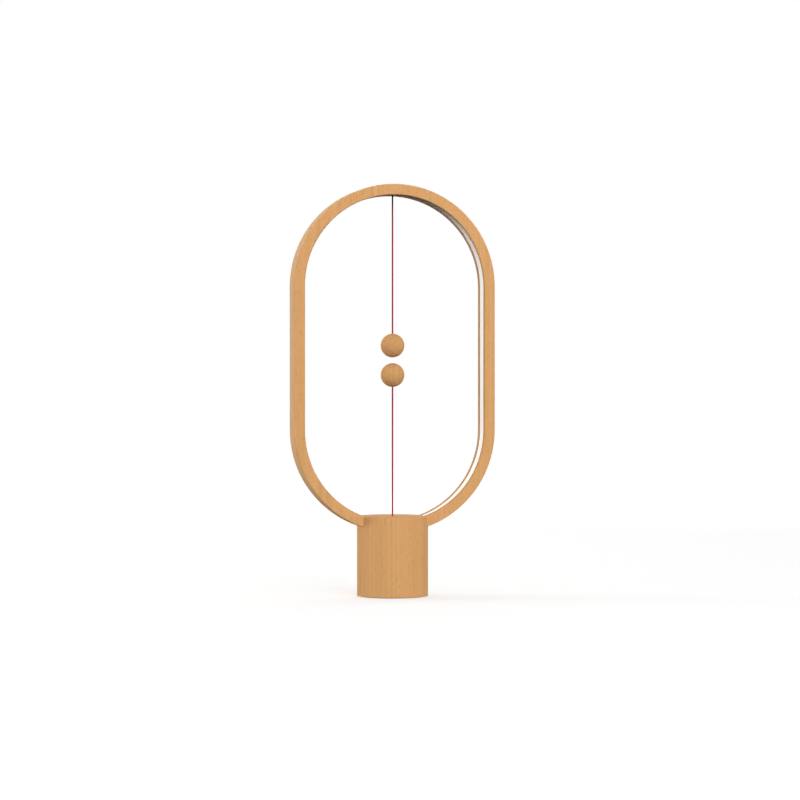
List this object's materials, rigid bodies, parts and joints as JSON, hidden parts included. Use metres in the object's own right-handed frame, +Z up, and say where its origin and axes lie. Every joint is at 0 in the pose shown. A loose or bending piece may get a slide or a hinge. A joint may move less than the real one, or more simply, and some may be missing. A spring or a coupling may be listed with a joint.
{
  "type": "balance lamp",
  "caption": "Table lamp: an oval wooden loop with a light strip inside, on a round wooden base; two magnetic balls on red strings are its switch.",
  "frame": {"origin": "centre of the underside of the foot pad, on the table", "axes": "+Z up along the strings, the loop lies in the XZ plane, -Y is the front and +Y the side with the power inlet"},
  "size_m": [0.198, 0.0692, 0.4],
  "materials": {
    "beech": "satin",
    "diffuser": "matte",
    "red_string": "matte",
    "light_strip": "satin",
    "light_chip": "gloss",
    "brass": "satin",
    "steel": "satin",
    "magnet": "polished",
    "cast_iron": "matte",
    "black_plastic": "satin",
    "grey_plastic": "matte",
    "circuit_board": "satin",
    "rubber": "matte",
    "lead_insulation": "satin"
  },
  "bodies": {
    "root": {"loop_frame": "beech", "diffuser": "diffuser", "led_strip_left": "light_strip", "led_strip_right": "light_strip", "led_chips": "light_chip", "string_anchor": "brass", "anchor_string": "red_string", "base_shell": "beech", "string_bush": "black_plastic", "loop_clamp": "steel", "clamp_screws": "steel", "chassis": "grey_plastic", "pillar_screws": "steel", "ballast_weight": "cast_iron", "bottom_cover": "black_plastic", "cover_screws": "steel", "foot_pad": "rubber", "circuit_board": "circuit_board", "board_parts": "black_plastic", "board_screws": "steel", "power_inlet": "steel", "inlet_tongue": "black_plastic", "switch_body": "black_plastic", "switch_terminals": "brass", "switch_screws": "steel", "lever_pin": "steel", "led_leads": "lead_insulation", "switch_leads": "lead_insulation"},
    "slider": {"pull_slider": "brass", "slider_finger": "steel", "return_spring": "steel", "slider_string": "red_string"},
    "lever": {"switch_lever": "steel"},
    "lower_swivel": {"lower_knuckle": "red_string"},
    "lower_line": {"lower_string": "red_string"},
    "lower_ball": {"lower_ball": "beech", "lower_magnet": "magnet", "lower_ball_cap": "beech", "lower_ball_string": "red_string"},
    "upper_swivel": {"upper_knuckle": "red_string"},
    "upper_ball": {"upper_string": "red_string", "upper_ball": "beech", "upper_magnet": "magnet", "upper_ball_cap": "beech"}
  },
  "joints": [
    {"name": "switch_travel", "type": "slide", "parent": "root", "child": "slider", "axis": [0, 0, 1], "range_m": [-0.003, 0], "stiffness_N_per_m": 40, "springref_m": -0.006, "deforming": ["return_spring"]},
    {"name": "switch_lever_turn", "type": "hinge", "parent": "root", "child": "lever", "pos_m": [0.024, 0, 0.0432], "axis": [0, 1, 0], "range_deg": [-11.3, 0]},
    {"name": "lower_swing_front", "type": "hinge", "parent": "slider", "child": "lower_swivel", "pos_m": [0, 0, 0.078], "axis": [1, 0, 0], "range_deg": [-15, 15], "stiffness_Nm_per_rad": 0.03},
    {"name": "lower_swing_side", "type": "hinge", "parent": "lower_swivel", "child": "lower_line", "pos_m": [0, 0, 0.078], "axis": [0, 1, 0], "range_deg": [-15, 15], "stiffness_Nm_per_rad": 0.03},
    {"name": "lower_ball_drop", "type": "slide", "parent": "lower_line", "child": "lower_ball", "axis": [0, 0, 1], "range_m": [-0.121, 0], "deforming": ["lower_string"]},
    {"name": "upper_swing_front", "type": "hinge", "parent": "root", "child": "upper_swivel", "pos_m": [0, 0, 0.3898], "axis": [1, 0, 0], "range_deg": [-60, 60]},
    {"name": "upper_swing_side", "type": "hinge", "parent": "upper_swivel", "child": "upper_ball", "pos_m": [0, 0, 0.3898], "axis": [0, 1, 0], "range_deg": [-30, 30]}
  ],
  "couplings": [
    {"joint": "switch_lever_turn", "follows": "switch_travel", "rad_per_m": 64.516}
  ]
}
